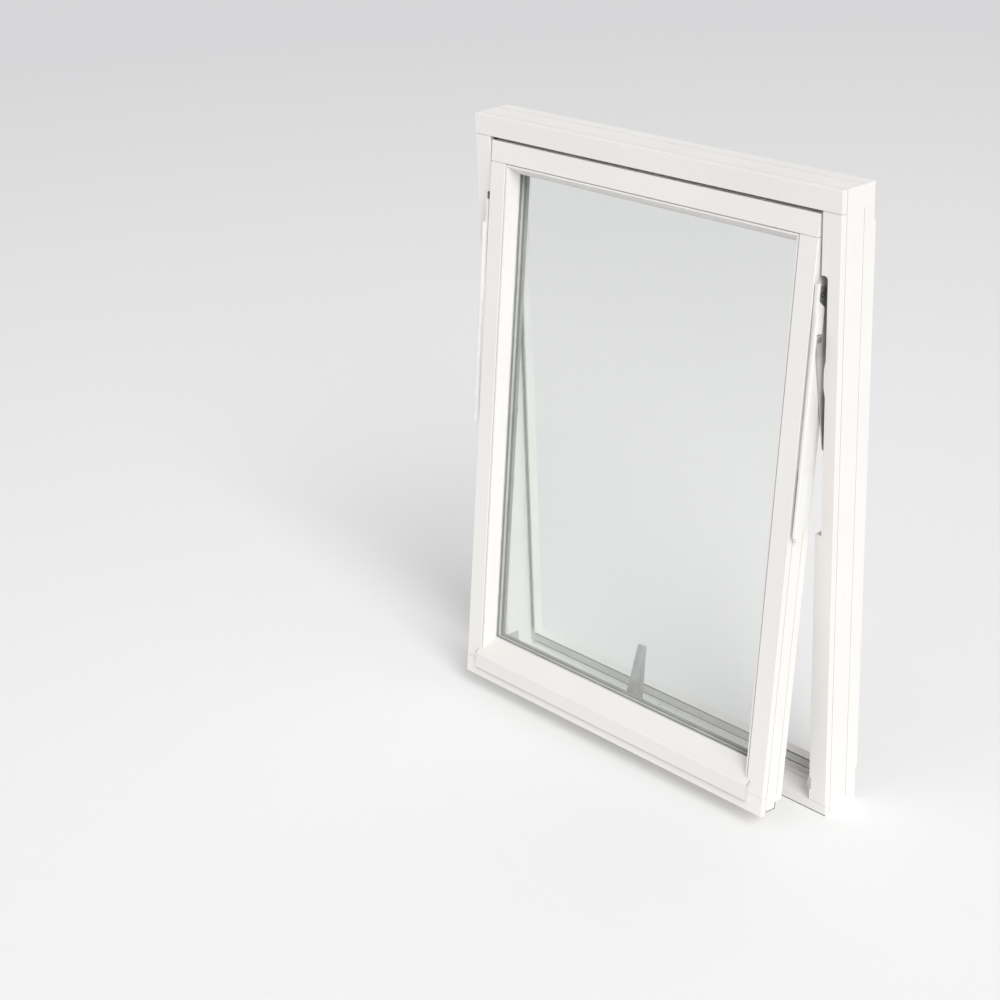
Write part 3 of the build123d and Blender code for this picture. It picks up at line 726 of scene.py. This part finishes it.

# Threshold of the sill: a thin folded plate on the tread, and two grey strips along the
# sill's seal, one over it and one under it, that paint the shade lines at its edges.
tread_low = Vector((-0.3905, 0.0035, 0.0260))
tread_high = Vector((0.3905, 0.0195, 0.0268))
shade_line_front = 0.0194
shade_line_back = 0.0221
# A grey for strips that paint shade lines: at the sill's seal and under the nose.
sill_rubber = rubber("sill_rubber", dark=(0.23, 0.23, 0.225, 1.0), light=(0.29, 0.29, 0.28, 1.0))
tread = blank("tread_plate", tread_low, tread_high)
rounded(tread, lambda at: near(at.y, tread_low.y) and near(at.z, tread_high.z),
        radius=0.0005, steps=2)
fit(tread, coated, "frame")
# Painted shade: thin grey strips for the shadow lines over and under the sill's seal.
for name, low, high in (("seal_lip_low", 0.0340, 0.0366), ("seal_lip_high", 0.0518, 0.0539)):
    shade_line = blank(name, (tread_low.x, shade_line_front, low), (tread_high.x, shade_line_back, high))
    rounded(shade_line, lambda at: near(at.y, shade_line_front) and near(at.x, 0.0), radius=0.0005, steps=3)
    fit(shade_line, sill_rubber, "frame")

# Plugs in the back of the sill: painted timber, glued in under the foot of each jamb,
# with a fine joint all round.
plug_low = Vector((0.3912, 0.0222, 0.0152))
plug_high = Vector((0.4048, 0.0430, 0.0199))
plug = blank("sill_plug_right", plug_low, plug_high)
rounded(plug, lambda at: near(at.y, plug_high.y), radius=0.0003, steps=2)
fit_pair(plug, level_timber, "frame")

# Foot of the sill: a narrow dark strip under its front edge, which the window stands on.
# Its dark is painted shade: the contact shadow under the sill's front.
contact_shade_low = Vector((-0.4440, -0.0432, 0.0))
contact_shade_high = Vector((0.4440, -0.0390, 0.0018))
# A dark colour for strips that paint shadow lines at the sill, the sash's foot and nose.
lip_rubber = rubber("lip_rubber", dark=(0.12, 0.12, 0.118, 1.0), light=(0.17, 0.17, 0.165, 1.0))
contact_shade = blank("sill_contact_shade", contact_shade_low, contact_shade_high)
rounded(contact_shade, lambda at: near(at.y, contact_shade_low.y) and near(at.z, contact_shade_high.z),
        radius=0.0003, steps=2)
fit(contact_shade, lip_rubber, "frame")

# Shade lines at the sash's foot: a thin dark edge, up the step at the back and along the
# underside, on each end of the bottom rail, that paints the shadow line under the rail's end.
foot_shade_low = on_sash(0.4000, 0.0364, 0.0061)
foot_shade_high = on_sash(0.4004, 0.0379, 0.0199)
underside_top = foot_shade_low.z + 0.0014
underside_reach = 0.0234
# Painted shade: a thin dark edge for the shadow line under the rail's end.
foot_shade = blank("foot_gasket_right", foot_shade_low, foot_shade_high)
whole(foot_shade)
bpy.ops.mesh.bisect(plane_co=(0.0, 0.0, underside_top), plane_no=(0.0, 0.0, 1.0))
pick(foot_shade, "FACE", lambda at: near(at.y, foot_shade_low.y) and at.z < underside_top)
bpy.ops.mesh.extrude_region_move(
    TRANSFORM_OT_translate={"value": (0.0, -underside_reach, 0.0)})
swung(foot_shade)
fit_pair(foot_shade, lip_rubber, "sash")

# End caps of the weather bead's nose: moulded, glued on the sawn ends, in a darker white
# that is painted shade, with a dark strip of painted shade where the nose runs up to the
# stile. Both slope up at the back, as the nose does.
cap_low = on_sash(0.3660, -0.0080, 0.0200)
cap_high = on_sash(0.3667, 0.0, 0.0520)
cap_middle = (cap_low.x + cap_high.x) / 2
cap_rise = 0.0093
nose_shade_low = on_sash(0.3667, -0.0075, 0.0515)
nose_shade_high = on_sash(0.3670, 0.0, 0.0535)
nose_shade_rise = 0.0080
# Painted shade: the caps' white is darker so their lit ends read less bright.
shaded_cap_paint = moulded("shaded_cap_paint", dark=(0.66, 0.645, 0.625, 1.0),
                    light=(0.69, 0.675, 0.655, 1.0), rough=0.5, grain_scale=500.0)
cap = blank("nose_cap_right", cap_low, cap_high)
raised(cap, lambda at: near(at.y, cap_high.y) and near(at.z, cap_high.z), cap_rise)
rounded(cap, lambda at: near(at.y, cap_low.y) and near(at.x, cap_middle),
        radius=0.003, steps=5)
swung(cap)
fit_pair(cap, shaded_cap_paint, "sash")
# Painted shade: a dark strip for the shadow gap where the nose meets the stile.
nose_shade = blank("nose_joint_right", nose_shade_low, nose_shade_high)
raised(nose_shade, lambda at: near(at.y, nose_shade_high.y), nose_shade_rise)
swung(nose_shade)
fit_pair(nose_shade, lip_rubber, "sash")

# Shade line under the weather bead's nose: a narrow grey strip just under the nose's
# front edge, that paints the shadow line which the nose casts on the bottom rail.
nose_shadow_low = on_sash(-0.3655, -0.0052, 0.0187)
nose_shadow_high = on_sash(0.3655, -0.0034, 0.0200)
# Painted shadow: a grey strip for the line under the nose.
nose_shadow_strip = blank("nose_shadow_line", nose_shadow_low, nose_shadow_high)
rounded(nose_shadow_strip, lambda at: near(at.z, nose_shadow_low.z) and near(at.x, 0.0), radius=0.0005, steps=4)
swung(nose_shadow_strip)
fit(nose_shadow_strip, sill_rubber, "sash")

# Reveal lining: a thin grey lining round the inner edge of the sash's timber, behind
# the panes, which makes that edge darker. Its four walls are one ring.
reveal_low = on_sash(-0.34297, 0.0478, 0.08803)
reveal_high = on_sash(0.34297, 0.0549, 1.05547)
# A grey that makes the inner edge of the sash darker.
reveal_rubber = rubber("reveal_rubber", dark=(0.33, 0.33, 0.325, 1.0),
                       light=(0.39, 0.39, 0.38, 1.0))
reveal = blank("reveal_lining", reveal_low, reveal_high)
opened(reveal, lambda at: near(at.y, reveal_low.y) or near(at.y, reveal_high.y))
walled(reveal, thickness=0.0006)
swung(reveal)
fit(reveal, reveal_rubber, "sash")

# Guide covers: thin plates of grey plastic round the guide blocks, on the jambs' inner
# faces. Each is ribbed: every other strip of its face is sunk.
cover_low = Vector((0.4035, -0.0420, 0.0360))
cover_high = Vector((0.4050, -0.0170, 0.0700))
ribs = 8
rib_width = 0.003125
groove_depth = 0.0006
cover = blank("guide_cover_right", cover_low, cover_high)
for step in range(1, ribs):
    whole(cover)
    bpy.ops.mesh.bisect(plane_co=(0.0, cover_low.y + step * rib_width, 0.0),
                        plane_no=(0.0, 1.0, 0.0))
pick(cover, "FACE", lambda at: near(at.x, cover_low.x)
     and int((at.y - cover_low.y) / rib_width) % 2 == 1)
bpy.ops.mesh.extrude_region_move(TRANSFORM_OT_translate={"value": (groove_depth, 0.0, 0.0)})
fit_pair(cover, guide_plastic, "frame")
